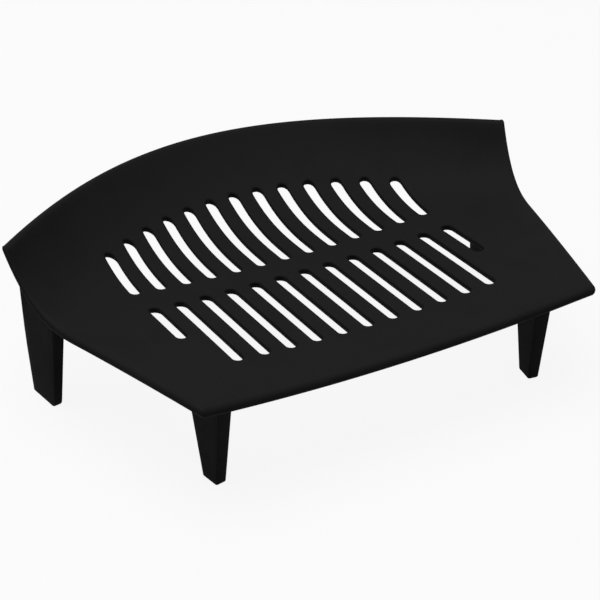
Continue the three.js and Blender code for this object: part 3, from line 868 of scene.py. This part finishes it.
def thread(start, end):
    """Radius of a bolt's shank between two places along it, with its thread rolled in."""
    def radius(turn, forwards):
        phase = (forwards / THREAD_PITCH + turn / (2 * math.pi)) % 1
        crest = min(max(THREAD_CREST - abs(2 * phase - 1) * THREAD_FLANK, 0), 1)
        run_out = min(max((forwards - start) / THREAD_PITCH, 0), 1)
        tip = end - forwards + BOLT_RADIUS - TIP_CHAMFER
        return min(BOLT_RADIUS - THREAD_DEPTH * (1 - crest) * run_out, tip)
    return radius


# Bolts and nuts are steel blackened in a hot oxide bath and oiled: a dark brown-black film, a
# little glossier than the paint, with faint patches where the film took unevenly.
FILM_DARK, FILM_LIGHT, FILM_DARK_AT, FILM_LIGHT_AT = "#343231", "#4a4846", 0.35, 0.7
PATCH_SIZE, PATCH_DEPTH, PATCH_STRENGTH = 4, 0.1, 0.2
OILED, DRY = 0.35, 0.5


def black_oxide_steel():
    steel = new_material("black_oxide_steel")
    place = add_node(steel, "TexCoord").outputs["Object"]
    patches = add_node(steel, "TexNoise", {
        "Vector": place, "Scale": per_metre(PATCH_SIZE), "Detail": 3, "Roughness": 0.6})
    film = add_node(steel, "ValToRGB", {"Fac": patches.outputs["Fac"]})
    stops = ((FILM_DARK_AT, FILM_DARK), (FILM_LIGHT_AT, FILM_LIGHT))
    for stop, (position, film_colour) in zip(film.color_ramp.elements, stops):
        stop.position = position
        stop.color = linear(film_colour)
    sheen = add_node(steel, "MapRange", {
        "Value": patches.outputs["Fac"], "To Min": OILED, "To Max": DRY})
    film_bump = add_node(steel, "Bump", {
        "Height": patches.outputs["Fac"],
        "Strength": PATCH_STRENGTH, "Distance": MILLIMETRE * PATCH_DEPTH})
    shader = add_node(steel, "BsdfPrincipled", {
        "Base Color": film.outputs["Color"], "Metallic": 1,
        "Roughness": sheen.outputs["Result"], "Normal": film_bump.outputs["Normal"]})
    add_node(steel, "OutputMaterial", {"Surface": shader.outputs["BSDF"]})
    return steel


fastener_steel = black_oxide_steel()


def fit_fastener(piece, node):
    soften(piece, STEEL_EDGE)
    piece.data.materials.append(fastener_steel)
    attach(piece, "root")
    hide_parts(node)


for place, leg, side in LEGS:
    seat = leg["joint"] - EAR_THICKNESS - SEAT_GAP
    crown = seat - HEAD_HEIGHT
    levels = [(crown, CROWN_MIDDLE), (crown, CROWN_FLAT)]
    levels += [(crown + level, crowned(level)) for level in CROWN_LEVELS]
    levels.append((seat - SEAT_CHAMFER, crowned(CROWN_DEPTH)))
    levels += [(seat, ACROSS_FLATS / 2 - SEAT_INSET), (seat, BOLT_RADIUS)]
    end = seat + BOLT_LENGTH
    start = end - THREAD_LENGTH
    levels.append((start - THREAD_START, BOLT_RADIUS))
    rows = THREAD_LENGTH // THREAD_PITCH * THREAD_ROWS
    levels += [(lerp(start, end, row / rows), thread(start, end)) for row in range(rows + 1)]
    fit_fastener(about_bolt(f"bolt_{place}_m6", leg, side, levels), f"bolt_{place}")

# ---- Washers --------------------------------------------------------------------------------
# Plain round washers, stamped from sheet: one edge is rolled over a little by the punch and
# the other is crisp. Each lies between a lug and its nut.
WASHER_OUTER, WASHER_INNER, WASHER_THICKNESS, PUNCH_ROUND = 6, 3.3, 1.6, 0.35

for place, leg, side in LEGS:
    near = leg["joint"] + SEAT_GAP + EAR_THICKNESS + SEAT_GAP
    far = near + WASHER_THICKNESS
    levels = [(near, WASHER_INNER), (near, WASHER_OUTER)]
    for degrees in QUARTER_TURNS:
        turn = math.radians(degrees)
        levels.append((
            far - PUNCH_ROUND * (1 - math.sin(turn)),
            WASHER_OUTER - PUNCH_ROUND * (1 - math.cos(turn))))
    levels += [(far, WASHER_INNER + PUNCH_ROUND), (far - PUNCH_ROUND, WASHER_INNER)]
    washer = about_bolt(f"washer_{place}_m6", leg, side, levels, hollow=True)
    fit_fastener(washer, f"washer_{place}")

# ---- Nuts -----------------------------------------------------------------------------------
# Hexagon nuts M6, forged with both faces turned down at the corners, the bore countersunk at
# each end.
NUT_HEIGHT, BORE_RADIUS, COUNTERSINK = 5, 3.15, 0.35

for place, leg, side in LEGS:
    near = leg["joint"] + 3 * SEAT_GAP + EAR_THICKNESS + WASHER_THICKNESS
    far = near + NUT_HEIGHT
    levels = [(near, BORE_RADIUS + COUNTERSINK), (near, CROWN_FLAT)]
    levels += [(near + level, crowned(level)) for level in CROWN_LEVELS]
    levels += [(far - level, crowned(level)) for level in reversed(CROWN_LEVELS)]
    levels += [(far, CROWN_FLAT), (far, BORE_RADIUS + COUNTERSINK)]
    levels += [(far - COUNTERSINK, BORE_RADIUS), (near + COUNTERSINK, BORE_RADIUS)]
    nut = about_bolt(f"nut_{place}_m6", leg, side, levels, hollow=True)
    fit_fastener(nut, f"nut_{place}")

# ---- Floor and light ------------------------------------------------------------------------
# A pale studio floor that turns up into a low backdrop. The camera sees it as white paper, and
# it keeps a share of its own shading so that the grate's shadow stays on it.
FLOOR_RADIUS, BACKDROP_STARTS, BACKDROP_HEIGHT = 6, 0.6, 1.2  # metres, a share, metres
FLOOR_RINGS, FLOOR_SPOKES = 24, 64
PAPER_COLOUR, SHADOW_SHARE = "#dadada", 0.1
WORLD_STRENGTH = 0.35
SOFTBOX_PLACE, SOFTBOX_SIZE, SOFTBOX_POWER = Vector((0.5, -0.1, 2.5)), 2.2, 46

floor_points, floor_faces = [(0, 0, 0)], []
for ring in range(1, FLOOR_RINGS + 1):
    share = ring / FLOOR_RINGS
    radius = FLOOR_RADIUS * share
    turned_up = max(0, (share - BACKDROP_STARTS) / (1 - BACKDROP_STARTS))
    height = BACKDROP_HEIGHT * turned_up**2
    for k in range(FLOOR_SPOKES):
        turn = 2 * math.pi * k / FLOOR_SPOKES
        floor_points.append((radius * math.cos(turn), radius * math.sin(turn), height))
for k in range(FLOOR_SPOKES):
    after = (k + 1) % FLOOR_SPOKES
    floor_faces.append([0, 1 + k, 1 + after])
    for start in range(1, len(floor_points) - FLOOR_SPOKES, FLOOR_SPOKES):
        beyond = start + FLOOR_SPOKES
        floor_faces.append([start + k, beyond + k, beyond + after, start + after])
floor_mesh = bpy.data.meshes.new("floor")
floor_mesh.from_pydata(floor_points, [], floor_faces)
floor = bpy.data.objects.new("floor", floor_mesh)
bpy.context.scene.collection.objects.link(floor)
floor_mesh.shade_smooth()

paper = new_material("matt_white_backdrop_paper")
own_shade = add_node(paper, "BsdfDiffuse", {"Color": linear(PAPER_COLOUR)})
white = add_node(paper, "Emission", {"Color": (1, 1, 1, 1), "Strength": 1})
rays = add_node(paper, "LightPath")
seen = add_node(paper, "Math", {
    0: rays.outputs["Is Camera Ray"], 1: rays.outputs["Is Glossy Ray"]}, operation="MAXIMUM")
seen = add_node(paper, "Math", {
    0: seen.outputs["Value"], 1: rays.outputs["Is Transmission Ray"]}, operation="MAXIMUM")
share = add_node(paper, "Math", {
    0: seen.outputs["Value"], 1: 1 - SHADOW_SHARE}, operation="MULTIPLY")
mixed = add_node(paper, "MixShader", {
    "Fac": share.outputs["Value"], 1: own_shade.outputs["BSDF"],
    2: white.outputs["Emission"]})
add_node(paper, "OutputMaterial", {"Surface": mixed.outputs["Shader"]})
floor_mesh.materials.append(paper)

world = bpy.data.worlds.new("studio")
bpy.context.scene.world = world
world.use_nodes = True
background = world.node_tree.nodes["Background"]
background.inputs["Color"].default_value = (1, 1, 1, 1)
background.inputs["Strength"].default_value = WORLD_STRENGTH

softbox = bpy.data.objects.new("softbox", bpy.data.lights.new("softbox", "AREA"))
bpy.context.scene.collection.objects.link(softbox)
softbox.data.size = SOFTBOX_SIZE
softbox.data.energy = SOFTBOX_POWER
softbox.location = SOFTBOX_PLACE
softbox.rotation_euler = SOFTBOX_PLACE.to_track_quat("Z", "Y").to_euler()

bpy.context.scene.view_settings.view_transform = "Standard"
